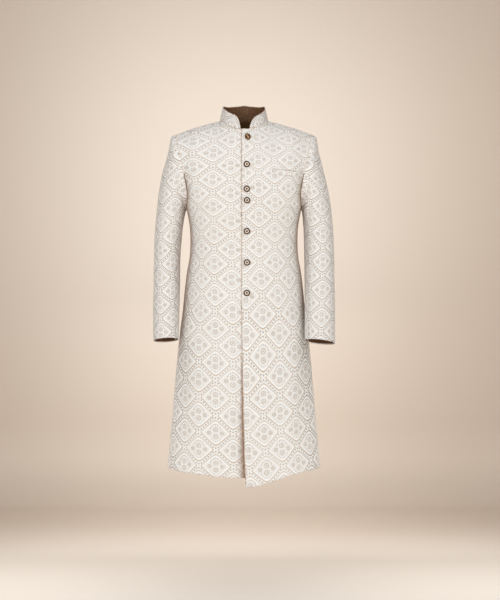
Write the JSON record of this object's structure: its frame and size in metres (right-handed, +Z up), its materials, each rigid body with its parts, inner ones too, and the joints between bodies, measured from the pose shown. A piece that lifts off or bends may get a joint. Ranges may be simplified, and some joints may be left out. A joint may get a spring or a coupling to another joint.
{
  "type": "sherwani coat",
  "caption": "Knee-length sherwani coat in cream brocade with a band collar, full sleeves and a buttoned front, in its hollow worn shape.",
  "frame": {"origin": "the middle of the neck's base, level with the shoulder seams at the collar, where the wearer's shoulders hold the coat", "axes": "+Z up, the front faces -Y, +X towards the wearer's left"},
  "size_m": [0.5682, 0.3316, 1.1912],
  "materials": {
    "brocade": "cream woven brocade with a soft sheen",
    "button": "aged dark brass, turned"
  },
  "bodies": {
    "root": {"front_left": "brocade", "front_right": "brocade", "back": "brocade", "collar": "brocade", "sleeve_left_top": "brocade", "sleeve_left_under": "brocade", "sleeve_right_top": "brocade", "sleeve_right_under": "brocade", "pocket_welt": "brocade", "button_1": "button", "button_2": "button", "button_3": "button", "button_4": "button", "button_5": "button", "button_6": "button", "button_7": "button"}
  },
  "joints": []
}
